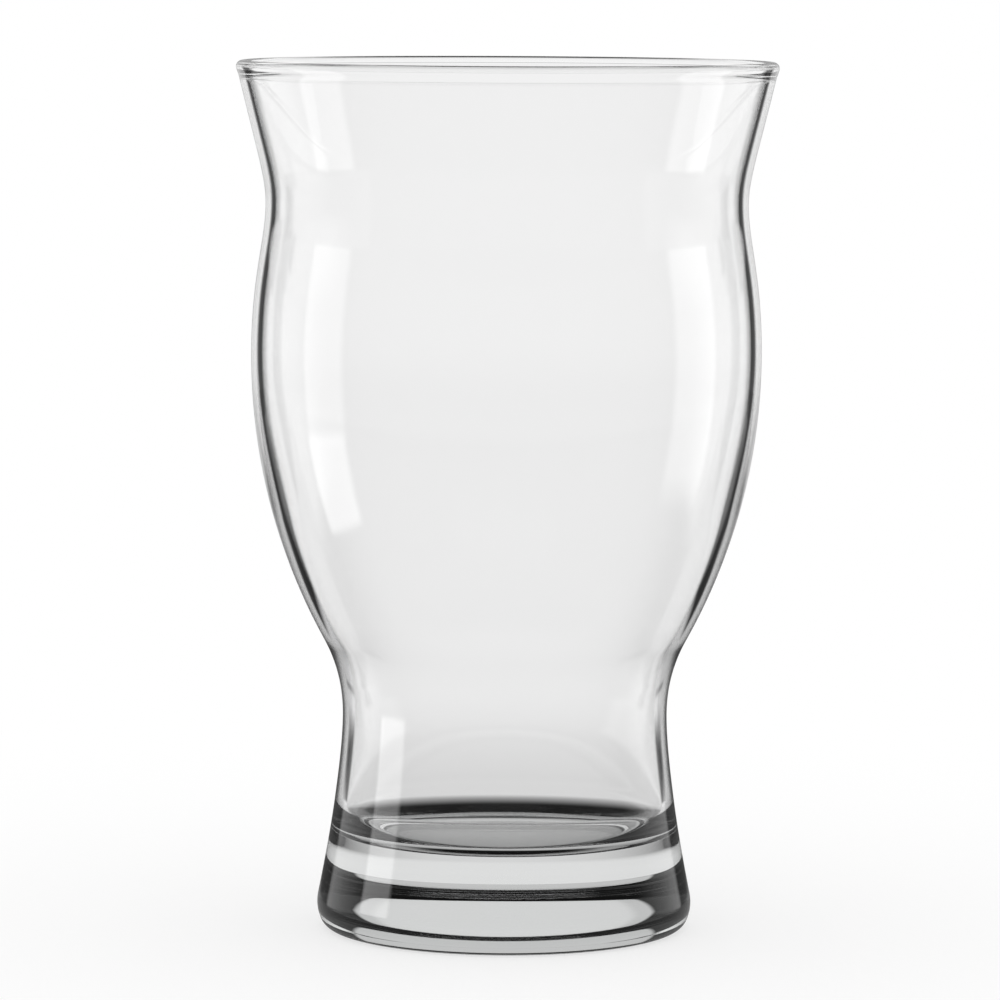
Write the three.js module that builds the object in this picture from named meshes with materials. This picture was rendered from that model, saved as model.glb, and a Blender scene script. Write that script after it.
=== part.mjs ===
// A stackable beer glass, in millimetres, standing on z = 0 with its axis along +Z.
// From the table up: a thick solid base, a flared foot wall, a stacking shoulder, a lower bowl, a
// belly, a drawn-in neck, a flared lip and a bead round the mouth. Every zone is a ring turned about
// the axis, and each ring rests on the flat end face of the ring below it.
import * as THREE from "three";

// Heights of the zones, each measured from the end of the zone below it
const BASE_THICKNESS = 15.1;
const FLOOR_ROUND_HEIGHT = 6;
const FOOT_WALL_HEIGHT = 14.9;
const SHOULDER_HEIGHT = 11.2;
const LOWER_BOWL_HEIGHT = 19.15;
const BELLY_HEIGHT = 28.65;
const NECK_HEIGHT = 24.7;
const LIP_HEIGHT = 21.5;

// Outer radii, from the table up, and how far the belly stands out from the lower bowl and the neck
const FOOT_RADIUS = 30.9;
const BASE_TOP_RADIUS = 28.06;
const WAIST_RADIUS = 26.7;
const SHOULDER_RADIUS = 29.4;
const BELLY_RADIUS = 41.9;
const BELLY_SWELL = 4.27;
const NECK_DRAW_IN = 2.4;
const RIM_RADIUS = 44.4;

// Thickness of the wall, measured level
const BASE_TOP_WALL = 2.0;
const WAIST_WALL = 2.0;
const SHOULDER_WALL = 2.2;
const LOWER_BOWL_WALL = 2.5;
const BELLY_WALL = 1.7;
const NECK_WALL = 1.55;
const LIP_WALL = 1.5;

// Rim, floor, heel and underside. The heel turns under in two rounds that run into each other.
const BEAD_DIAMETER = 2.1;
const FLOOR_ROUND_WIDTH = 3.5;
const HEEL_RADIUS = 6.8;
const SOLE_RADIUS = 2.8;
const BEARING_WIDTH = 4.5;
const HOLLOW_DEPTH = 0.2;
const HOLLOW_EDGE_WIDTH = 0.2;

// Lean of the outer wall, in degrees from upright, positive where it opens upwards
const SOLE_LEAN = 22.5;
const HEEL_LEAN = -11.5;
const BASE_TOP_LEAN = -7.8;
const SHOULDER_LEAN = 28.5;
const LOWER_BOWL_LEAN = 17;
const LIP_LEAN = 13.2;

// Facets: steps round the axis, and steps along each stretch of a section
const STEPS_ROUND = 60;
const BEAD_STEPS = 8;
const LIP_STEPS = 5;
const NECK_STEPS = 5;
const BELLY_STEPS = 4;
const LOWER_BOWL_STEPS = 4;
const SHOULDER_STEPS = 4;
const FOOT_WALL_STEPS = 3;
const BASE_FLARE_STEPS = 3;
const HEEL_STEPS = 3;
const SOLE_STEPS = 3;
const FLOOR_ROUND_STEPS = 6;

const slopeOf = (degrees) => Math.tan(THREE.MathUtils.degToRad(degrees));

// The bead is round in section, and the lip runs into it where its chord is as wide as the lip.
const beadRadius = BEAD_DIAMETER / 2;
const beadChordDepth = Math.sqrt(Math.max(beadRadius ** 2 - (LIP_WALL / 2) ** 2, 0));
const beadRing = RIM_RADIUS - beadRadius;

// A station is a level where the wall's radius, thickness and lean are known. Its lean holds for a
// share of the stretch below it and of the stretch above it.
const baseTop = {
  height: BASE_THICKNESS + FLOOR_ROUND_HEIGHT,
  radius: BASE_TOP_RADIUS,
  wall: BASE_TOP_WALL,
  slope: slopeOf(BASE_TOP_LEAN),
  shareBelow: 0.33,
  shareAbove: 0.34,
};
const waist = {
  height: baseTop.height + FOOT_WALL_HEIGHT,
  radius: WAIST_RADIUS,
  wall: WAIST_WALL,
  slope: 0,
  shareBelow: 0.3,
  shareAbove: 0.28,
};
const shoulder = {
  height: waist.height + SHOULDER_HEIGHT,
  radius: SHOULDER_RADIUS,
  wall: SHOULDER_WALL,
  slope: slopeOf(SHOULDER_LEAN),
  shareBelow: 0.33,
  shareAbove: 0.114,
};
const lowerBowl = {
  height: shoulder.height + LOWER_BOWL_HEIGHT,
  radius: BELLY_RADIUS - BELLY_SWELL,
  wall: LOWER_BOWL_WALL,
  slope: slopeOf(LOWER_BOWL_LEAN),
  shareBelow: 0.535,
  shareAbove: 0.268,
};
const belly = {
  height: lowerBowl.height + BELLY_HEIGHT,
  radius: BELLY_RADIUS,
  wall: BELLY_WALL,
  slope: 0,
  shareBelow: 0.393,
  shareAbove: 0.52,
};
const neck = {
  height: belly.height + NECK_HEIGHT,
  radius: BELLY_RADIUS - NECK_DRAW_IN,
  wall: NECK_WALL,
  slope: 0,
  shareBelow: 0.24,
  shareAbove: 0.2,
};
const lipTop = {
  height: neck.height + LIP_HEIGHT,
  radius: beadRing + LIP_WALL / 2,
  wall: LIP_WALL,
  slope: slopeOf(LIP_LEAN),
  shareBelow: 0.6,
};

// The centres of the two rounds lie on one line through the point where they meet, and the flare of
// the base runs into the upper one.
const soleTurn = THREE.MathUtils.degToRad(SOLE_LEAN);
const heelTurn = THREE.MathUtils.degToRad(-HEEL_LEAN);
const heelCentre = new THREE.Vector2(
  FOOT_RADIUS - HEEL_RADIUS,
  SOLE_RADIUS + (HEEL_RADIUS - SOLE_RADIUS) * Math.sin(soleTurn),
);
const soleCentre = new THREE.Vector2(
  heelCentre.x + (HEEL_RADIUS - SOLE_RADIUS) * Math.cos(soleTurn),
  SOLE_RADIUS,
);
const heelTop = {
  height: heelCentre.y + HEEL_RADIUS * Math.sin(heelTurn),
  radius: heelCentre.x + HEEL_RADIUS * Math.cos(heelTurn),
  slope: slopeOf(HEEL_LEAN),
  shareAbove: 0.33,
};

const outerFace = (station) => station.radius;
const innerFace = (station) => station.radius - station.wall;

// One stretch of a wall's face between two stations, as section points from the lower to the upper
function stretch(lower, upper, face, steps) {
  const rise = upper.height - lower.height;
  const start = new THREE.Vector2(face(lower), lower.height);
  const end = new THREE.Vector2(face(upper), upper.height);
  const leave = new THREE.Vector2(lower.slope, 1).multiplyScalar(rise * lower.shareAbove);
  const arrive = new THREE.Vector2(upper.slope, 1).multiplyScalar(rise * upper.shareBelow);
  return new THREE.CubicBezierCurve(
    start,
    leave.add(start),
    end.clone().sub(arrive),
    end,
  ).getPoints(steps);
}

// An arc of a section about a centre, as points from one angle to the other
function arc(centre, radius, from, to, steps) {
  const points = [];
  for (let i = 0; i <= steps; i++) {
    const angle = THREE.MathUtils.lerp(from, to, i / steps);
    const spoke = new THREE.Vector2(Math.cos(angle), Math.sin(angle));
    points.push(spoke.multiplyScalar(radius).add(centre));
  }
  return points;
}

// The section of a wall between two stations: up the outer face and down the inner one
function wallSection(lower, upper, steps) {
  const outer = stretch(lower, upper, outerFace, steps);
  const inner = stretch(lower, upper, innerFace, steps);
  return [...outer, ...inner.reverse(), outer[0]];
}

function beadSection() {
  const centre = new THREE.Vector2(beadRing, lipTop.height + beadChordDepth);
  const start = Math.atan2(-beadChordDepth, LIP_WALL / 2);
  const end = Math.PI - start;
  const round = arc(centre, beadRadius, start, end, BEAD_STEPS);
  return [...round, round[0]];
}

// The inside wall runs down into the level floor in a tall round.
function floorRound() {
  const roundShare = 0.55;
  const start = new THREE.Vector2(innerFace(baseTop), baseTop.height);
  const end = new THREE.Vector2(start.x - FLOOR_ROUND_WIDTH, BASE_THICKNESS);
  const leave = new THREE.Vector2(-baseTop.slope, -1).multiplyScalar(FLOOR_ROUND_HEIGHT * roundShare);
  const arrive = new THREE.Vector2(FLOOR_ROUND_WIDTH * roundShare, 0);
  return new THREE.CubicBezierCurve(
    start,
    leave.add(start),
    arrive.add(end),
    end,
  ).getPoints(FLOOR_ROUND_STEPS);
}

function baseSection() {
  const bearingInside = soleCentre.x - BEARING_WIDTH;
  const hollow = [
    new THREE.Vector2(0, HOLLOW_DEPTH),
    new THREE.Vector2(bearingInside - HOLLOW_EDGE_WIDTH, HOLLOW_DEPTH),
    new THREE.Vector2(bearingInside, 0),
  ];
  const sole = arc(soleCentre, SOLE_RADIUS, -Math.PI / 2, -soleTurn, SOLE_STEPS);
  const heel = arc(heelCentre, HEEL_RADIUS, -soleTurn, heelTurn, HEEL_STEPS);
  const flare = stretch(heelTop, baseTop, outerFace, BASE_FLARE_STEPS);
  const middle = new THREE.Vector2(0, BASE_THICKNESS);
  return [...hollow, ...sole, ...heel, ...flare, ...floorRound(), middle];
}

// Neighbouring stretches share their end point, so a point that repeats the one before is left out.
function withoutRepeats(points) {
  const nearest = 1e-6;
  return points.filter((p, i) => i === 0 || p.distanceTo(points[i - 1]) > nearest);
}

const CLEAR_GLASS = { color: 0xe9eeec, roughness: 0.04, metalness: 0, transparent: true, opacity: 0.35 };

// Turns a section about the axis, which lies along Z
function turned(name, section) {
  const geometry = new THREE.LatheGeometry(withoutRepeats(section), STEPS_ROUND);
  geometry.rotateX(Math.PI / 2);
  const mesh = new THREE.Mesh(geometry, new THREE.MeshStandardMaterial(CLEAR_GLASS));
  mesh.name = name;
  return mesh;
}

const glass = new THREE.Group();
glass.add(
  turned("solid_base", baseSection()),
  turned("foot_wall", wallSection(baseTop, waist, FOOT_WALL_STEPS)),
  turned("stacking_shoulder", wallSection(waist, shoulder, SHOULDER_STEPS)),
  turned("lower_bowl", wallSection(shoulder, lowerBowl, LOWER_BOWL_STEPS)),
  turned("belly", wallSection(lowerBowl, belly, BELLY_STEPS)),
  turned("neck", wallSection(belly, neck, NECK_STEPS)),
  turned("flared_lip", wallSection(neck, lipTop, LIP_STEPS)),
  turned("rim_bead", beadSection()),
);

export default glass;
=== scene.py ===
# %% [markdown]
# # A stackable beer glass
#
# One piece of clear glass: a thick base, a narrow foot that fits the hand, a shoulder, a round bowl,
# a drawn-in neck and a flared lip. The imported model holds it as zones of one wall, and this lesson
# turns those zones into one seamless shell, gives it the finish of pressed and fire-polished glass,
# and lights it the way that clear glass is lit for a catalogue.

import bpy
import bmesh
from collections import namedtuple
from math import acos, ceil, cos, pi, radians, sin, tan
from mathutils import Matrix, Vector
from mathutils.geometry import interpolate_bezier


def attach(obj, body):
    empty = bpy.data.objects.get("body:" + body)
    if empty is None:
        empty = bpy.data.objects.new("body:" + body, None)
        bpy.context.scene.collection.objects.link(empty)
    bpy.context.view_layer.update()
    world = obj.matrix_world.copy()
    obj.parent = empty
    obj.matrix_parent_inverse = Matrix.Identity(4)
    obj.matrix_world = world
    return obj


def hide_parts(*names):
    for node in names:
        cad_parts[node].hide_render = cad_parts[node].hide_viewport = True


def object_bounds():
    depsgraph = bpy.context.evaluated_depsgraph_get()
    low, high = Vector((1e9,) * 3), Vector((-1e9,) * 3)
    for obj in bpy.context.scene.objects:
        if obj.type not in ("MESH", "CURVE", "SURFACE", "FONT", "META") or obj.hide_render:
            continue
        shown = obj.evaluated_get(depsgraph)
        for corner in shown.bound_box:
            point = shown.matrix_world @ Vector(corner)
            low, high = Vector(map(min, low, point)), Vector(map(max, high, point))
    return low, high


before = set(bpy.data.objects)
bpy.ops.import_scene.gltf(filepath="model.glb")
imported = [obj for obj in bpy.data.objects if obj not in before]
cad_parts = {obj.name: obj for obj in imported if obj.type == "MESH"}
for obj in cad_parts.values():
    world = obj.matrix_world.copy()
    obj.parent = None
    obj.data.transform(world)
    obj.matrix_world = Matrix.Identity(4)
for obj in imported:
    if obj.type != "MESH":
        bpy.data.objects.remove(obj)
cad_low, cad_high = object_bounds()
mm = 0.001
print("The glass stands", round(cad_high.z / mm, 1), "mm tall")

# %% [markdown]
# ## Reading the wall's sizes
#
# Every size comes from the zones themselves, so the shell always fits them. Each zone ends in a
# level ring, and a ring gives three numbers: its height, its outer radius and its inner radius.

# %% Measure the rings
ZONES = ("solid_base", "foot_wall", "stacking_shoulder", "lower_bowl", "belly", "neck", "flared_lip",
         "rim_bead")
SAME_LEVEL = 0.01 * mm
Ring = namedtuple("Ring", "height outer inner")


def corners_of(zone):
    return [vertex.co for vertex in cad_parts[zone].data.vertices]


def ring_at(zone, height):
    radii = [corner.xy.length for corner in corners_of(zone) if abs(corner.z - height) < SAME_LEVEL]
    return Ring(height, max(radii), min(radii))


def top_ring(zone):
    return ring_at(zone, max(corner.z for corner in corners_of(zone)))


rings = {zone: top_ring(zone) for zone in ZONES}
for zone, ring in rings.items():
    print("The top of", zone, "in mm:", [round(size / mm, 2) for size in ring])
base_top = rings["solid_base"]
lip_top = rings["flared_lip"]

# %% Measure the base and the bead
axis_heights = [corner.z for corner in corners_of("solid_base") if corner.xy.length < SAME_LEVEL]
floor = ring_at("solid_base", max(axis_heights))
hollow = ring_at("solid_base", min(axis_heights))
bearing = ring_at("solid_base", 0.0)
foot_radius = max(corner.xy.length for corner in corners_of("solid_base"))
lip_middle = (lip_top.outer + lip_top.inner) / 2
bead_radius = max(corner.xy.length for corner in corners_of("rim_bead")) - lip_middle
bead_height = cad_high.z - bead_radius
print("The floor is", round(floor.height / mm, 2), "mm up, the bead", round(2 * bead_radius / mm, 2),
      "mm across and the bearing ring", round((bearing.outer - bearing.inner) / mm, 2), "mm wide")

# %% [markdown]
# ## The section of the wall
#
# A glass is a section turned about its axis, so the whole shape is one line: from the middle of the
# underside, out over the heel, up the outside, over the bead, down the inside and across the floor.
# Between two rings the line is a cubic curve that leaves and arrives at a known lean, held for a
# share of the way. It could be traced as one long freehand curve, but then a ring could not be moved
# without bending its neighbours.

# %% Draw the walls
Station = namedtuple("Station", "ring lean hold_below hold_above")
STATIONS = (
    Station(base_top, -7.8, 0.33, 0.34),
    Station(rings["foot_wall"], 0, 0.30, 0.28),
    Station(rings["stacking_shoulder"], 28.5, 0.33, 0.114),
    Station(rings["lower_bowl"], 17, 0.535, 0.268),
    Station(rings["belly"], 0, 0.393, 0.52),
    Station(rings["neck"], 0, 0.24, 0.20),
    Station(lip_top, 13.2, 0.60, 0.33),
)
POINT_SPACING = 0.9 * mm
FEWEST_POINTS = 8


def section_point(radius, height):
    return Vector((radius, 0, height))


def points_for(length):
    return max(ceil(length / POINT_SPACING), FEWEST_POINTS)


def wall_curve(start, end, start_lean, end_lean, start_hold, end_hold):
    rise = end.z - start.z
    leave = start + rise * start_hold * Vector((tan(radians(start_lean)), 0, 1))
    arrive = end - rise * end_hold * Vector((tan(radians(end_lean)), 0, 1))
    return list(interpolate_bezier(start, leave, arrive, end, points_for(abs(rise))))


def wall_face(radius_of):
    line = []
    for low, high in zip(STATIONS, STATIONS[1:]):
        start = section_point(radius_of(low.ring), low.ring.height)
        end = section_point(radius_of(high.ring), high.ring.height)
        line += wall_curve(start, end, low.lean, high.lean, low.hold_above, high.hold_below)[:-1]
    return line


outside = wall_face(lambda ring: ring.outer)
inside = wall_face(lambda ring: ring.inner)
print("The wall has", len(outside), "points on each face")

# %% [markdown]
# ## The bead round the mouth
#
# The rim was melted smooth in a flame, so its bead swells out of the lip with no notch. A ring laid on
# top of the lip would leave a crease along both its sides. So the lip stops a little lower, and a
# short curve leads each of its faces into the bead.

# %% Draw the bead
BEAD_RUN_IN = 0.9 * mm
BEAD_LEAN = 15
BEAD_POINTS = 36
EVEN_HOLD = 0.33


def arc(middle, radius, start, end, points):
    turns = [start + (end - start) * i / (points - 1) for i in range(points)]
    return [middle + radius * Vector((cos(turn), 0, sin(turn))) for turn in turns]


bead_turn = radians(BEAD_LEAN)
bead = arc(section_point(lip_middle, bead_height), bead_radius, -bead_turn, pi + bead_turn, BEAD_POINTS)
lip_lean, lip_hold = STATIONS[-1].lean, STATIONS[-1].hold_above
run_in_height = lip_top.height - BEAD_RUN_IN
run_in = BEAD_RUN_IN * tan(radians(lip_lean))
outside = [point for point in outside if point.z < run_in_height]
inside = [point for point in inside if point.z < run_in_height]
outer_run_in = wall_curve(section_point(lip_top.outer - run_in, run_in_height), bead[0],
                          lip_lean, BEAD_LEAN, lip_hold, EVEN_HOLD)
inner_run_in = wall_curve(section_point(lip_top.inner - run_in, run_in_height), bead[-1],
                          lip_lean, -BEAD_LEAN, lip_hold, EVEN_HOLD)
rim = outer_run_in[:-1] + bead + inner_run_in[-2::-1]
print("The lip runs into the bead from", round(run_in_height / mm, 2), "mm up")

# %% [markdown]
# ## The heel and the floor
#
# The heel turns under in two rounds that run into each other, a wide one and a tighter one, and inside
# the wall runs down into the floor in a tall round. A bevel could round both corners, but the base is
# a strong lens: where these rounds begin decides where its dark and bright bands lie. So each round is
# drawn with its own size.

# %% Draw the heel
HEEL_ROUND = 6.8 * mm
SOLE_ROUND = 2.8 * mm
HEEL_LEAN = -11.5
ROUND_POINTS = 24
rounds_apart = HEEL_ROUND - SOLE_ROUND
meeting_turn = acos((bearing.outer - (foot_radius - HEEL_ROUND)) / rounds_apart)
sole = arc(section_point(bearing.outer, SOLE_ROUND), SOLE_ROUND, -pi / 2, -meeting_turn, ROUND_POINTS)
heel_middle = section_point(foot_radius - HEEL_ROUND, SOLE_ROUND + rounds_apart * sin(meeting_turn))
heel = arc(heel_middle, HEEL_ROUND, -meeting_turn, radians(-HEEL_LEAN), ROUND_POINTS)
base_lean, base_hold = STATIONS[0].lean, STATIONS[0].hold_below
flare = wall_curve(heel[-1], outside[0], HEEL_LEAN, base_lean, EVEN_HOLD, base_hold)
print("The two rounds of the heel meet", round(heel[0].z / mm, 2), "mm up")

# %% Draw the floor's round
FLOOR_HOLD = 0.55
wall_foot = section_point(base_top.inner, base_top.height)
floor_edge = section_point(floor.outer, floor.height)
down_the_wall = Vector((-tan(radians(base_lean)), 0, -1))
leave = wall_foot + FLOOR_HOLD * (base_top.height - floor.height) * down_the_wall
arrive = floor_edge + Vector((FLOOR_HOLD * (base_top.inner - floor.outer), 0, 0))
floor_round = list(interpolate_bezier(wall_foot, leave, arrive, floor_edge, ROUND_POINTS))
print("The floor's round is", round((wall_foot.z - floor_edge.z) / mm, 2), "mm tall and",
      round((wall_foot.x - floor_edge.x) / mm, 2), "mm wide")

# %% [markdown]
# ## One line for the whole glass
#
# The flat stretches need few points, but a long thin face beside a tight round shades badly, so the
# floor and the underside get a row of points as well. The hollow under the base is a shallow step
# inside the bearing ring.

# %% Join the section
FLAT_POINTS = 8


def level_line(start, end):
    return [start.lerp(end, i / FLAT_POINTS) for i in range(FLAT_POINTS)]


hollow_edge = section_point(hollow.outer, hollow.height)
ring_edge = section_point(bearing.inner, 0)
section = level_line(section_point(0, hollow.height), hollow_edge)
section += [hollow_edge, ring_edge] + level_line(ring_edge, sole[0])[1:]
section += sole[:-1] + heel[:-1] + flare[:-1] + outside + rim + inside[::-1] + floor_round[1:]
section += level_line(floor_edge, section_point(0, floor.height))[1:]
section.append(section_point(0, floor.height))
print("The section has", len(section), "points")

# %% [markdown]
# ## Turning the section
#
# Spin is Blender's lathe. Before the turn, a few smoothing passes over the wall's own points take
# out the small jumps in curvature where two stretches meet: glass shows those as a false line. The
# line's ends lie on the axis, so the turned shell is closed, and the points that fall on each other
# there are merged before the faces are made to point outwards.

# %% Turn the glass
STEPS_ROUND = 180
SMOOTHING_PASSES = 6
SMOOTHING = 0.5
NEAREST = 0.002 * mm


def add_object(name, data):
    added = bpy.data.objects.new(name, data)
    bpy.context.collection.objects.link(added)
    return added


def mesh_object(name, mesh):
    data = bpy.data.meshes.new(name)
    mesh.to_mesh(data)
    mesh.free()
    return add_object(name, data)


def turned_piece(name, line, smooth_between):
    mesh = bmesh.new()
    corners = [mesh.verts.new(point) for point in line]
    edges = [mesh.edges.new(pair) for pair in zip(corners, corners[1:])]
    low, high = smooth_between
    wall = [corner for corner in corners if low < corner.co.z < high]
    for _ in range(SMOOTHING_PASSES):
        bmesh.ops.smooth_vert(mesh, verts=wall, factor=SMOOTHING,
                              use_axis_x=True, use_axis_y=True, use_axis_z=True)
    bmesh.ops.spin(mesh, geom=corners + edges, cent=(0, 0, 0), axis=(0, 0, 1), angle=2 * pi,
                   steps=STEPS_ROUND, use_merge=True)
    bmesh.ops.remove_doubles(mesh, verts=mesh.verts, dist=NEAREST)
    bmesh.ops.recalc_face_normals(mesh, faces=mesh.faces)
    for face in mesh.faces:
        face.smooth = True
    return mesh_object(name, mesh)


glass = turned_piece("beer_glass", section, (base_top.height, run_in_height))
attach(glass, "root")
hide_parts(*ZONES)
print("The glass has", len(glass.data.polygons), "faces")

# %% [markdown]
# ## The glass itself
#
# Clear glass is all light bent by other things: a shader that lets everything through, with the
# refractive index of window and bottle glass. An unchanging shader would do, but what makes glass look
# made rather than drawn is slight. The mould left the walls a little uneven, so a slow ripple bends
# the light by a hair. The bearing ring is scuffed by tables, so it alone is a little rough, and the
# thick base has a trace of tint. Small helpers put nodes in a tree and plug them, and keep each step
# to a few lines.

# %% Make the clear glass
GLASS_INDEX = 1.52


def put(tree, kind, **settings):
    node = tree.nodes.new(kind)
    for name, value in settings.items():
        setattr(node, name, value)
    return node


def plug(tree, value, socket):
    if isinstance(value, bpy.types.NodeSocket):
        tree.links.new(value, socket)
    else:
        socket.default_value = value


clear_glass = bpy.data.materials.new("clear_glass")
clear_glass.use_nodes = True
tree = clear_glass.node_tree
shader = tree.nodes["Principled BSDF"]
shader.inputs["IOR"].default_value = GLASS_INDEX
shader.inputs["Transmission Weight"].default_value = 1.0
glass.data.materials.append(clear_glass)
print("The glass has a refractive index of", GLASS_INDEX)

# %% Ripple the walls
RIPPLE_SCALE = 45
RIPPLE_DETAIL = 1
RIPPLE_HEIGHT = 0.012 * mm


def cloud(tree, place, scale, detail):
    noise = put(tree, "ShaderNodeTexNoise")
    plug(tree, place, noise.inputs["Vector"])
    noise.inputs["Scale"].default_value = scale
    noise.inputs["Detail"].default_value = detail
    return noise.outputs["Fac"]


place = put(tree, "ShaderNodeTexCoord").outputs["Object"]
ripple = put(tree, "ShaderNodeBump")
ripple.inputs["Strength"].default_value = 1.0
ripple.inputs["Distance"].default_value = RIPPLE_HEIGHT
plug(tree, cloud(tree, place, RIPPLE_SCALE, RIPPLE_DETAIL), ripple.inputs["Height"])
plug(tree, ripple.outputs["Normal"], shader.inputs["Normal"])
print("The ripple is", round(RIPPLE_HEIGHT / mm, 3), "mm high and about", round(1 / RIPPLE_SCALE / mm),
      "mm from crest to crest")

# %% Scuff the bearing ring
SCUFF_SCALE = 1200
SCUFF_DETAIL = 4
SCUFF_CLOUDS = (0.45, 0.65)
SCUFF_LEVEL = 0.1 * mm
SCUFF_ROUGHNESS = 0.18


def calc(tree, operation, *values):
    node = put(tree, "ShaderNodeMath", operation=operation)
    for value, socket in zip(values, node.inputs):
        plug(tree, value, socket)
    return node.outputs[0]


def times(tree, first, *others):
    for other in others:
        first = calc(tree, "MULTIPLY", first, other)
    return first


def fade(tree, value, start, end):
    """Runs softly from 0 at the start to 1 at the end."""
    node = put(tree, "ShaderNodeMapRange", interpolation_type="SMOOTHSTEP")
    plug(tree, value, node.inputs["Value"])
    node.inputs["From Min"].default_value = start
    node.inputs["From Max"].default_value = end
    return node.outputs["Result"]


def split(tree, vector):
    node = put(tree, "ShaderNodeSeparateXYZ")
    plug(tree, vector, node.inputs[0])
    return node.outputs


height = split(tree, place)["Z"]
scuffs = times(tree, fade(tree, cloud(tree, place, SCUFF_SCALE, SCUFF_DETAIL), *SCUFF_CLOUDS),
               fade(tree, height, SCUFF_LEVEL, SCUFF_LEVEL / 2), SCUFF_ROUGHNESS)
plug(tree, scuffs, shader.inputs["Roughness"])
print("The scuffs reach", round(SCUFF_LEVEL / mm, 2), "mm up and a roughness of", SCUFF_ROUGHNESS)

# %% Tint the base
NO_TINT = (1, 1, 1, 1)
BASE_TINT = (0.975, 0.99, 0.985, 1)
tint = put(tree, "ShaderNodeMix", data_type="RGBA")
plug(tree, fade(tree, height, base_top.height, 0.0), tint.inputs["Factor"])
colours = [socket for socket in tint.inputs if socket.type == "RGBA"]
for socket, colour in zip(colours, (NO_TINT, BASE_TINT)):
    socket.default_value = colour
tinted = next(socket for socket in tint.outputs if socket.type == "RGBA")
plug(tree, tinted, shader.inputs["Base Color"])
print("The tint fades out", round(base_top.height / mm, 2), "mm up")

# %% [markdown]
# ## The table
#
# A plain white disc, wide enough to fill the view. A curved backdrop would do as well, but the white
# studio already ends behind the disc. It lies a hair below the glass, because two faces at one level
# would flicker.

# %% Lay the table
TABLE_RADIUS = 650 * mm
TABLE_DROP = 0.02 * mm
TABLE_CORNERS = 96
mesh = bmesh.new()
bmesh.ops.create_circle(mesh, cap_ends=True, segments=TABLE_CORNERS, radius=TABLE_RADIUS)
table = mesh_object("table", mesh)
table.location.z = -TABLE_DROP
print("The table is", round(2 * TABLE_RADIUS / mm), "mm across")

# %% [markdown]
# ## Telling the rays apart
#
# Glass is lit by what it shows: bright sheets through it, dark cards along its edges. In a real studio
# every sheet and card is moved about until each part of the glass shows the right one. Here Light Path
# tells how a ray came, and each kind of ray gets its own level: mirrored by the skin, straight through,
# bounced once inside the glass, or bounced again. Few passes mean that a ray left through the base.
# Nothing asks where the camera stands, so the light stays put in every view.

# %% Tell the rays apart
Rays = namedtuple("Rays", "camera glass skin bounced again through_base")
BASE_PASSES = (3.5, 2.5)


def without(tree, share):
    return calc(tree, "SUBTRACT", 1.0, share)


def ray_kinds(tree):
    path = put(tree, "ShaderNodeLightPath").outputs
    glossy, through = path["Is Glossy Ray"], path["Is Transmission Ray"]
    return Rays(
        camera=path["Is Camera Ray"],
        glass=calc(tree, "MAXIMUM", glossy, through),
        skin=times(tree, glossy, without(tree, through)),
        bounced=calc(tree, "MINIMUM", path["Glossy Depth"], 1.0),
        again=fade(tree, path["Glossy Depth"], 1.0, 2.0),
        through_base=fade(tree, path["Transmission Depth"], *BASE_PASSES),
    )


def stage_finish(name):
    finish = bpy.data.materials.new(name)
    finish.use_nodes = True
    finish.cycles.emission_sampling = "NONE"
    finish.node_tree.nodes.remove(finish.node_tree.nodes["Principled BSDF"])
    return finish


table_white = stage_finish("table_white")
tree = table_white.node_tree
rays = ray_kinds(tree)
print("The rays are told apart as", ", ".join(Rays._fields))

# %% [markdown]
# ## What the glass shows of the table
#
# It is painted light and shade, set by radius: a painted shadow makes it grey under the base and pale
# just outside it, and it is brighter further out. The table has no gloss, but near the glass it also
# matters
# how steeply a ray comes down: a low one finds a painted reflection of the bright room, and a steep one
# finds painted shade. A glossy shader could give a real reflection, but then the shadow and the white of
# the table would change with it. Angles are counted from the back of the table, and at the sides from
# the bowl's edge.

# %% Find a ray's place on the table
BOWL_EDGE = 38 * mm
place = put(tree, "ShaderNodeTexCoord").outputs["Object"]
length = put(tree, "ShaderNodeVectorMath", operation="LENGTH")
plug(tree, place, length.inputs[0])
distance = length.outputs["Value"]
across, deep, _ = split(tree, place)
beside = calc(tree, "SUBTRACT", calc(tree, "ABSOLUTE", across), BOWL_EDGE)
from_back = calc(tree, "ARCTAN2", calc(tree, "MAXIMUM", beside, 0.0), deep)
lowness = put(tree, "ShaderNodeLayerWeight").outputs["Facing"]
print("The bowl's edge is taken to be", round(BOWL_EDGE / mm), "mm from the axis")

# %% Paint the table's shade by radius
Seen = namedtuple("Seen", "radius level ease")
# Painted shade: the table is darkest under the base and just round it, where the glass would shade it,
# and brighter further out.
PAINTED_TABLE_SHADE = (
    Seen(0, 0.31, 0.32), Seen(26.5, 0.31, 0.32), Seen(28.2, 0.50, 0.70), Seen(30.4, 0.50, 0.70),
    Seen(31.5, 0.78, 0.0), Seen(80, 0.78, 0.0), Seen(120, 0.78, 0.2), Seen(170, 0.76, 0.2),
    Seen(208, 0.81, 0.2), Seen(245, 0.87, 0.2), Seen(285, 0.915, 0.2), Seen(330, 0.95, 0.2),
    Seen(430, 0.97, 0.2), Seen(560, 0.965, 0.2), Seen(650, 0.96, 0.2),
)
stops_node = put(tree, "ShaderNodeValToRGB")
plug(tree, calc(tree, "DIVIDE", distance, TABLE_RADIUS), stops_node.inputs["Fac"])
stops = stops_node.color_ramp.elements
for seen in PAINTED_TABLE_SHADE[1:-1]:
    stops.new(seen.radius * mm / TABLE_RADIUS)
for stop, seen in zip(stops, PAINTED_TABLE_SHADE):
    stop.color = (seen.level, seen.ease, 0, 1)
level_and_ease = put(tree, "ShaderNodeSeparateColor")
plug(tree, stops_node.outputs["Color"], level_and_ease.inputs[0])
level, ease, _ = level_and_ease.outputs
print("The table has", len(stops), "levels")
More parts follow.
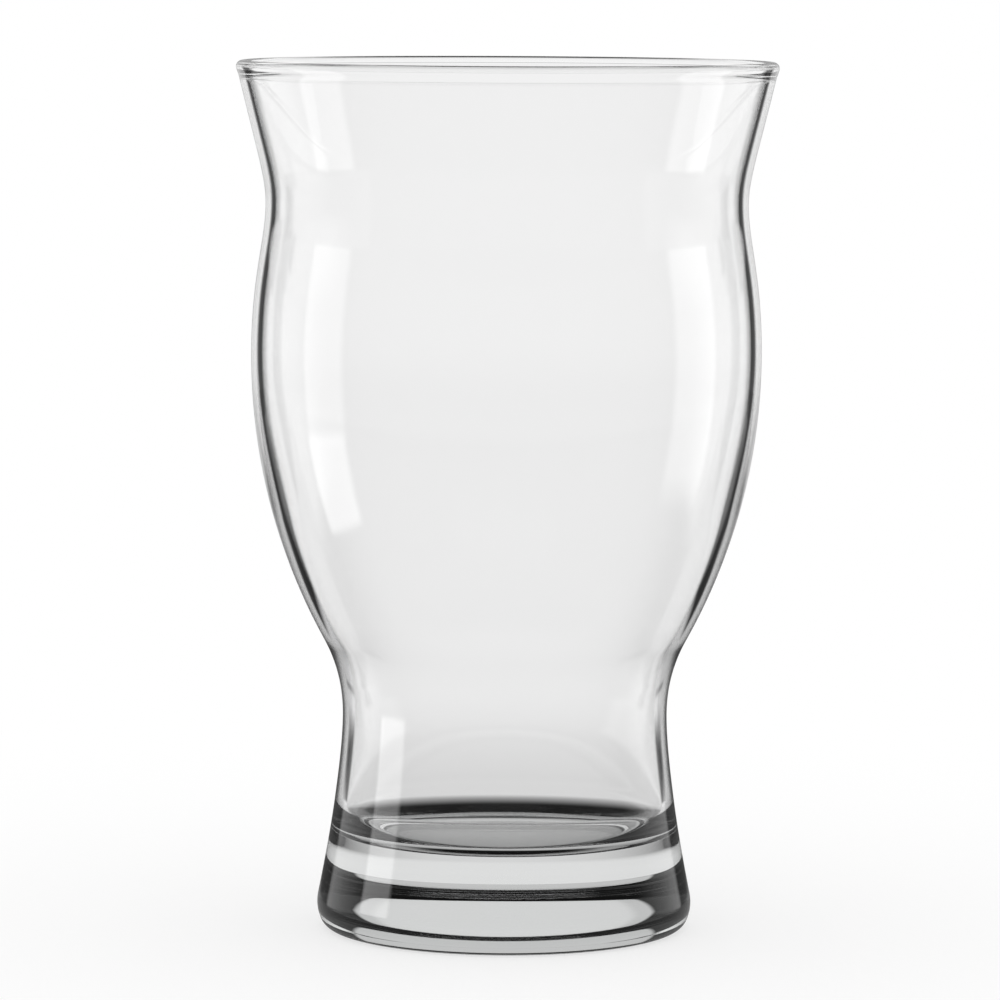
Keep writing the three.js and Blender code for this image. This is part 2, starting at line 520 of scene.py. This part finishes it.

# %% Paint the room's reflection into the table
ROOM_REFLECTION_PAINTED = (0.40, 0.70)
EASE_THROUGH_WALLS = 0.5
BOUNCED_NO_EASE = (80 * mm, 120 * mm)
WALLS_EASE = (60 * mm, 100 * mm)


def mix(tree, share, first, second):
    node = put(tree, "ShaderNodeMix", data_type="FLOAT")
    plug(tree, share, node.inputs["Factor"])
    plug(tree, first, node.inputs["A"])
    plug(tree, second, node.inputs["B"])
    return node.outputs["Result"]


straight = without(tree, rays.bounced)
far_bounce = times(tree, rays.bounced, fade(tree, distance, *BOUNCED_NO_EASE))
ease = times(tree, ease, without(tree, far_bounce))
through_walls = times(tree, straight, without(tree, rays.through_base), fade(tree, distance, *WALLS_EASE))
ease = mix(tree, through_walls, ease, EASE_THROUGH_WALLS)
# Painted reflection: low rays see the bright room mirrored in the table, and steep ones see painted
# shade.
painted_room_reflection = fade(tree, calc(tree, "ADD", lowness, ease), *ROOM_REFLECTION_PAINTED)
print("The room is mirrored from a lowness of", ROOM_REFLECTION_PAINTED[0], "and in full from", ROOM_REFLECTION_PAINTED[1])

# %% [markdown]
# ## Dark cards on the table
#
# A dark card at each side of the bright sheet draws the edges of a clear glass. The cards could be
# boards, but a board has a side that other views would show. So they are angles at which the table
# and the room go dark, each with a soft edge in degrees.

# %% Lay the dark cards
CARDS_FROM, CARDS_TO, CARDS_SOFT = 24, 38, 2.5
CARDS_FAR = (250 * mm, 350 * mm)
CARDS_NEAR = (170 * mm, 210 * mm)
CARDS_STEEP = (0.82, 0.77)
CARDS_LOW = (0.82, 0.87)


def within(tree, angle, edge, soft):
    return fade(tree, angle, radians(edge + soft), radians(edge - soft))


def beyond(tree, angle, edge, soft):
    return fade(tree, angle, radians(edge - soft), radians(edge + soft))


def on_card(tree, from_back):
    return times(tree, beyond(tree, from_back, CARDS_FROM, CARDS_SOFT),
                 within(tree, from_back, CARDS_TO, CARDS_SOFT))


steep = times(tree, fade(tree, lowness, *CARDS_STEEP), fade(tree, distance, *CARDS_NEAR))
cards = times(tree, on_card(tree, from_back),
              calc(tree, "MAXIMUM", fade(tree, distance, *CARDS_FAR), steep),
              calc(tree, "MAXIMUM", rays.bounced, fade(tree, lowness, *CARDS_LOW)))
print("The dark cards stand", CARDS_FROM, "to", CARDS_TO, "degrees from the back")

# %% Darken the sides
DARK_SIDES = (50, 3)
DARK_SIDES_FROM, DARK_SIDES_TO = (40 * mm, 70 * mm), (170 * mm, 120 * mm)
DARK_SIDES_LOW = (0.73, 0.78)
DARK_LEVEL = 0.05
SIDE_FROM, SIDE_TO = 48, 78
FAR_TABLE = (350 * mm, 620 * mm)
DIM_SIDE = 0.5


def toward_side(tree, from_back):
    return fade(tree, from_back, radians(SIDE_FROM), radians(SIDE_TO))


dark_sides = times(tree, beyond(tree, from_back, *DARK_SIDES), straight, rays.through_base,
                   fade(tree, distance, *DARK_SIDES_FROM), fade(tree, distance, *DARK_SIDES_TO),
                   fade(tree, lowness, *DARK_SIDES_LOW))
dim_side = times(tree, toward_side(tree, from_back), rays.bounced, fade(tree, distance, *FAR_TABLE))
lit = times(tree, level, painted_room_reflection, without(tree, cards), mix(tree, dark_sides, 1.0, DARK_LEVEL),
            mix(tree, dim_side, 1.0, DIM_SIDE))
print("The base sees the sides dark from", DARK_SIDES[0], "degrees on")

# %% Dim what bounces inside the glass
FRONT = (80, 12)
FRONT_FROM = (32 * mm, 45 * mm)
DIM_FRONT = 0.15
BACK_STRIPE = (11, 7)
BACK_STRIPE_FROM, BACK_STRIPE_TO = (100 * mm, 160 * mm), (640 * mm, 350 * mm)
DIM_BOUNCE = 0.25
TWICE_BOUNCED = 0.1
in_front = times(tree, beyond(tree, from_back, *FRONT), rays.bounced, fade(tree, distance, *FRONT_FROM))
back_stripe = times(tree, rays.bounced, fade(tree, distance, *BACK_STRIPE_FROM),
                    fade(tree, distance, *BACK_STRIPE_TO), within(tree, from_back, *BACK_STRIPE))
lit_bounce = times(tree, lit, mix(tree, back_stripe, 1.0, DIM_BOUNCE))
seen_level = mix(tree, in_front, lit_bounce, DIM_FRONT)
seen_level = times(tree, seen_level, mix(tree, rays.again, 1.0, TWICE_BOUNCED))
print("A ray that bounced again keeps", TWICE_BOUNCED, "of its light")

# %% [markdown]
# ## What the glass's skin mirrors
#
# The skin of the glass mirrors only a few parts in a hundred, but most at its edges. There it shows a
# pale tent: bright behind, dimmer at the sides, dim in front, with a dark card that keeps the edge
# line crisp. The table and the room share this tent, so its levels are one helper.

# %% Set what the skin mirrors
BRIGHT_TENT, SIDE_TENT = 0.95, 0.62
TENT_MIDDLE, MIDDLE_LEVEL = (9, 3), 0.5
EDGE_CARD_FROM, EDGE_CARD_TO, EDGE_CARD_LEVEL = (26, 2), (37, 3), 0.15
TENT_GAP, GAP_LEVEL = (40, 4), 0.10
SKIN_FROM, NEAR_SKIN_SHADE = (50 * mm, 90 * mm), 0.4


def tent_level(tree, from_back):
    edge_card = times(tree, beyond(tree, from_back, *EDGE_CARD_FROM),
                      within(tree, from_back, *EDGE_CARD_TO))
    bright = mix(tree, toward_side(tree, from_back), BRIGHT_TENT, SIDE_TENT)
    bright = mix(tree, within(tree, from_back, *FRONT), DIM_FRONT, bright)
    bright = mix(tree, within(tree, from_back, *TENT_MIDDLE), bright, MIDDLE_LEVEL)
    return mix(tree, edge_card, bright, EDGE_CARD_LEVEL)


tent = tent_level(tree, from_back)
# On the table the tent is painted light. Close to the glass, the skin sees the table's painted levels,
# dimmed further, as painted shade.
near_tent = mix(tree, beyond(tree, from_back, *TENT_GAP), GAP_LEVEL, tent)
mirrored = mix(tree, fade(tree, distance, *FAR_TABLE), near_tent, tent)
mirrored = mix(tree, fade(tree, distance, *SKIN_FROM), times(tree, lit, NEAR_SKIN_SHADE), mirrored)
seen_level = mix(tree, rays.skin, seen_level, mirrored)
print("The tent's level is", BRIGHT_TENT, "behind and", SIDE_TENT, "at the sides")

# %% [markdown]
# ## The table's white
#
# The camera sees the table matt, so it keeps the glass's soft shadow, and further out it glows to the
# same white as the background. A matt table alone would never be quite as white as the room, and its
# edge would show. The glass sees only the levels that were set for it.

# %% Make the table white
TABLE_COLOUR = (0.98, 0.98, 0.98, 1)
SHADOW_FADES = (40 * mm, 250 * mm)
NEAR_GLOW = 0.65


def blend(tree, share, first, second):
    node = put(tree, "ShaderNodeMixShader")
    for value, socket in zip((share, first.outputs[0], second.outputs[0]), node.inputs):
        plug(tree, value, socket)
    plug(tree, node.outputs[0], tree.nodes["Material Output"].inputs["Surface"])


matt = put(tree, "ShaderNodeBsdfDiffuse")
matt.inputs["Color"].default_value = TABLE_COLOUR
glow = put(tree, "ShaderNodeEmission")
plug(tree, mix(tree, rays.glass, 1.0, seen_level), glow.inputs["Strength"])
white_share = mix(tree, fade(tree, distance, *SHADOW_FADES), NEAR_GLOW, 1.0)
glow_share = calc(tree, "MAXIMUM", times(tree, white_share, rays.camera), rays.glass)
blend(tree, glow_share, matt, glow)
table.data.materials.append(table_white)
print("The table's material has", len(tree.nodes), "nodes")

# %% [markdown]
# ## The studio
#
# Clear glass is lit from behind: a bright sheet shows through it, and dark cards at both sides of the
# sheet draw its edges. The world is that room, which saves building it. Rays that came through the
# glass see the sheet, the cards and a pale open room round them, rays that bounce off its skin see the
# tent, and everything else sees white.

# %% Make the studio
world = bpy.data.worlds.new("studio")
bpy.context.scene.world = world
world.use_nodes = True
tree = world.node_tree
rays = ray_kinds(tree)
straight = without(tree, rays.bounced)
x, y, z = split(tree, put(tree, "ShaderNodeTexCoord").outputs["Generated"])
level_way = calc(tree, "SQRT", without(tree, calc(tree, "MULTIPLY", z, z)))
elevation = calc(tree, "ARCTAN2", z, level_way)
from_back = calc(tree, "ARCTAN2", calc(tree, "ABSOLUTE", x), y)
cards = on_card(tree, from_back)
print("The", world.name, "is told by two angles: from the back and above the horizon")

# %% Hang the sheets
HORIZON = (0, 0.5)
SHEET_SIDES, SHEET_TOP = (42, 2), (45, 4)
STRAIGHT_SHEET = 0.58
BOUNCED_MIDDLE, MIDDLE_SHEET, OUTER_SHEET = (33, 3), 0.70, 0.58
CEILING = (65, 5)
SIDE_SHEET_FROM, SIDE_SHEET_TOP, SIDE_SHEET = (41, 3), (9, 3), 0.95
bounced_sheet = mix(tree, within(tree, from_back, *BOUNCED_MIDDLE), OUTER_SHEET, MIDDLE_SHEET)
bounced_sheet = times(tree, bounced_sheet, within(tree, elevation, *SHEET_TOP))
back_sheet = times(tree, within(tree, from_back, *SHEET_SIDES), beyond(tree, elevation, *HORIZON),
                   mix(tree, rays.bounced, STRAIGHT_SHEET, bounced_sheet))
ceiling = times(tree, beyond(tree, elevation, *CEILING), straight, STRAIGHT_SHEET)
side_level = mix(tree, toward_side(tree, from_back), SIDE_SHEET, DIM_SIDE)
side_sheet = times(tree, beyond(tree, from_back, *SIDE_SHEET_FROM),
                   within(tree, elevation, *SIDE_SHEET_TOP), rays.bounced, side_level)
print("The sheet behind the glass is", 2 * SHEET_SIDES[0], "degrees wide and", SHEET_TOP[0], "high")

# %% Light the room round them
ROOM = 0.03
GROUND_DIP = (-6, -3.5)
GROUND_LEVEL, HORIZON_LEVEL = 0.975, 1.01
OPEN_ROOM_TOP, OPEN_ROOM = (14, 5), 0.97
FRONT_TOP = (42, 4)
dip_from, dip_to = (radians(angle) for angle in GROUND_DIP)
ground_level = mix(tree, fade(tree, elevation, dip_from, dip_to), GROUND_LEVEL, HORIZON_LEVEL)
ground_level = mix(tree, times(tree, toward_side(tree, from_back), rays.bounced), ground_level, DIM_SIDE)
ground = times(tree, within(tree, elevation, *HORIZON), ground_level, without(tree, cards))
open_room = times(tree, within(tree, elevation, *OPEN_ROOM_TOP), straight,
                  without(tree, rays.through_base), without(tree, cards), OPEN_ROOM)
bright = ROOM
for sheet in (back_sheet, ceiling, side_sheet, ground, open_room):
    bright = calc(tree, "MAXIMUM", sheet, bright)
front = times(tree, beyond(tree, from_back, *FRONT), within(tree, elevation, *FRONT_TOP), rays.bounced)
through = times(tree, mix(tree, front, bright, DIM_FRONT), mix(tree, rays.again, 1.0, TWICE_BOUNCED))
print("The open room's level is", OPEN_ROOM, "up to", OPEN_ROOM_TOP[0], "degrees")

# %% Pitch the tent
TENT_SIDES, TENT_TOP = (40, 3), (40, 10)
SideStep = namedtuple("SideStep", "above keep")
SIDE_STEPS = (SideStep((2, 2), 0.85), SideStep((13, 2), 0.12))
tent = tent_level(tree, from_back)
for step in SIDE_STEPS:
    dimmed = times(tree, beyond(tree, from_back, *TENT_SIDES), beyond(tree, elevation, *step.above))
    tent = times(tree, tent, mix(tree, dimmed, 1.0, step.keep))
tent = mix(tree, within(tree, elevation, *TENT_TOP), DIM_FRONT, tent)
in_glass = mix(tree, rays.skin, through, tent)
background = tree.nodes["Background"]
background.inputs["Color"].default_value = (1, 1, 1, 1)
plug(tree, mix(tree, rays.glass, 1.0, in_glass), background.inputs["Strength"])
print("The studio has", len(tree.nodes), "nodes")

# %% [markdown]
# ## The strip lights
#
# The long highlights down the bowl and the foot are the mirror images of strip lights. Bright cards
# would give them too, but an area light has a power and its own visibility, so only the skin of the
# glass sees it. The picture of a strip fades at its edges, as a soft box does. The left one is in two
# parts, because the highlight on the foot is stronger than the one on the bowl.

# %% Hang the strip lights
Strip = namedtuple("Strip", "name turn distance width low high radiance")
STRIPS = (
    Strip("left_strip", -79.5, 0.15, 0.068, 0.046, 0.16, 1.6),
    Strip("right_strip", 77, 0.10, 0.047, 0.037, 0.16, 1.6),
    Strip("low_strip", -79.5, 0.14, 0.062, 0.006, 0.062, 2.7),
)
SOFT_EDGE = 0.16


def turned_to(turn, radius, height):
    """A place at a turn from the front, in degrees, and a distance from the axis."""
    return Vector((radius * sin(radians(turn)), -radius * cos(radians(turn)), height))


def strip_light(strip):
    lamp = bpy.data.lights.new(strip.name, "AREA")
    lamp.shape = "RECTANGLE"
    lamp.size = strip.width
    lamp.size_y = strip.high - strip.low
    lamp.energy = strip.radiance * pi * lamp.size * lamp.size_y
    lamp.use_nodes = True
    tree = lamp.node_tree
    sides = split(tree, put(tree, "ShaderNodeNewGeometry").outputs["Parametric"])[:2]
    soft = [fade(tree, side, start, end) for side in sides
            for start, end in ((0, SOFT_EDGE), (1, 1 - SOFT_EDGE))]
    plug(tree, times(tree, *soft), tree.nodes["Emission"].inputs["Strength"])
    light = add_object(strip.name, lamp)
    light.location = turned_to(strip.turn, strip.distance, (strip.low + strip.high) / 2)
    light.rotation_euler = (radians(90), 0, radians(strip.turn))
    for ray in ("camera", "diffuse", "transmission"):
        setattr(light, "visible_" + ray, False)
    return light


for strip in STRIPS:
    print("The", strip.name, "has", round(strip_light(strip).data.energy, 4), "watts")

# %% [markdown]
# ## The flags and the rim card
#
# A photographer keeps a light off one place with a flag, a small card between the two. Two flags keep
# the strips out of the neck, where the highlights have a gap. A bright card behind the mouth lights the
# bead from within, because the sheet alone leaves it dull. They are studio gear and not part of the
# glass, and only the one kind of ray that needs a card sees it. A card is one upright edge, spun part
# of the way round the axis.

# %% Bend a card
CARD_STEPS = 12


def card_finish(name, low, high, level, soft):
    finish = stage_finish(name)
    tree = finish.node_tree
    height = split(tree, put(tree, "ShaderNodeTexCoord").outputs["Object"])["Z"]
    run = soft * (high - low)
    glow = put(tree, "ShaderNodeEmission")
    glow.inputs["Strength"].default_value = level
    solid = times(tree, fade(tree, height, low, low + run), fade(tree, height, high, high - run))
    blend(tree, solid, put(tree, "ShaderNodeBsdfTransparent"), glow)
    return finish


def curved_card(name, start, end, radius, low, high, level, soft, seen_by):
    mesh = bmesh.new()
    ends = [mesh.verts.new(turned_to(start, radius, height)) for height in (low, high)]
    upright = mesh.edges.new(ends)
    bmesh.ops.spin(mesh, geom=ends + [upright], cent=(0, 0, 0), axis=(0, 0, 1),
                   angle=radians(end - start), steps=CARD_STEPS)
    card = mesh_object(name, mesh)
    card.data.materials.append(card_finish(name, low, high, level, soft))
    for ray in ("camera", "diffuse", "shadow", "transmission", "glossy"):
        setattr(card, "visible_" + ray, ray == seen_by)
    return card


print("A card has", CARD_STEPS, "faces")

# %% Hang the flags
FLAG_RADIUS = 52 * mm
FLAG_LOW, FLAG_HIGH = 116.0 * mm, 121.0 * mm
FLAG_SOFT = 0.2
FLAG_LEVEL = 0.5
for name, start, end in (("left_flag", -85, -42), ("right_flag", 42, 85)):
    curved_card(name, start, end, FLAG_RADIUS, FLAG_LOW, FLAG_HIGH, FLAG_LEVEL, FLAG_SOFT, "glossy")
print("The flags hang", round((FLAG_RADIUS - rings["neck"].outer) / mm, 1), "mm off the neck")

# %% Hang the rim card
RIM_CARD_TURNS = (120, 240)
RIM_CARD_RADIUS = 110 * mm
RIM_CARD_LOW, RIM_CARD_HIGH = 145 * mm, 200 * mm
RIM_CARD_LEVEL = 0.95
RIM_CARD_SOFT = 0.02
curved_card("rim_card", *RIM_CARD_TURNS, RIM_CARD_RADIUS, RIM_CARD_LOW, RIM_CARD_HIGH, RIM_CARD_LEVEL,
            RIM_CARD_SOFT, "transmission")
print("The rim card starts", round((RIM_CARD_LOW - cad_high.z) / mm, 1), "mm above the rim")

# %% [markdown]
# ## The camera
#
# A long lens a metre away, a little higher than the rim and looking slightly down, so that the
# rim and the base show as narrow ellipses. A near camera would open them wide. Light needs many
# bounces to find its way out of a thick glass base, so the limits are raised.

# %% Place the camera
TILT = 5.51
ROLL = -0.27
AIM = Vector((-1.37 * mm, 0, 70.9 * mm))
DISTANCE = 938.2 * mm
LENS = 205.2
MOST_BOUNCES = 32
camera_data = bpy.data.cameras.new("camera")
camera_data.lens = LENS
camera = add_object("camera", camera_data)
camera.location = AIM + DISTANCE * Vector((0, -cos(radians(TILT)), sin(radians(TILT))))
camera.rotation_euler = (radians(90 - TILT), radians(ROLL), 0)
bpy.context.scene.camera = camera
bpy.context.scene.view_settings.view_transform = "Standard"
cycles = bpy.context.scene.cycles
cycles.max_bounces = MOST_BOUNCES
cycles.transmission_bounces = MOST_BOUNCES
cycles.glossy_bounces = MOST_BOUNCES // 2
print("The camera stands", round(camera.location.z / mm, 1), "mm above the table")
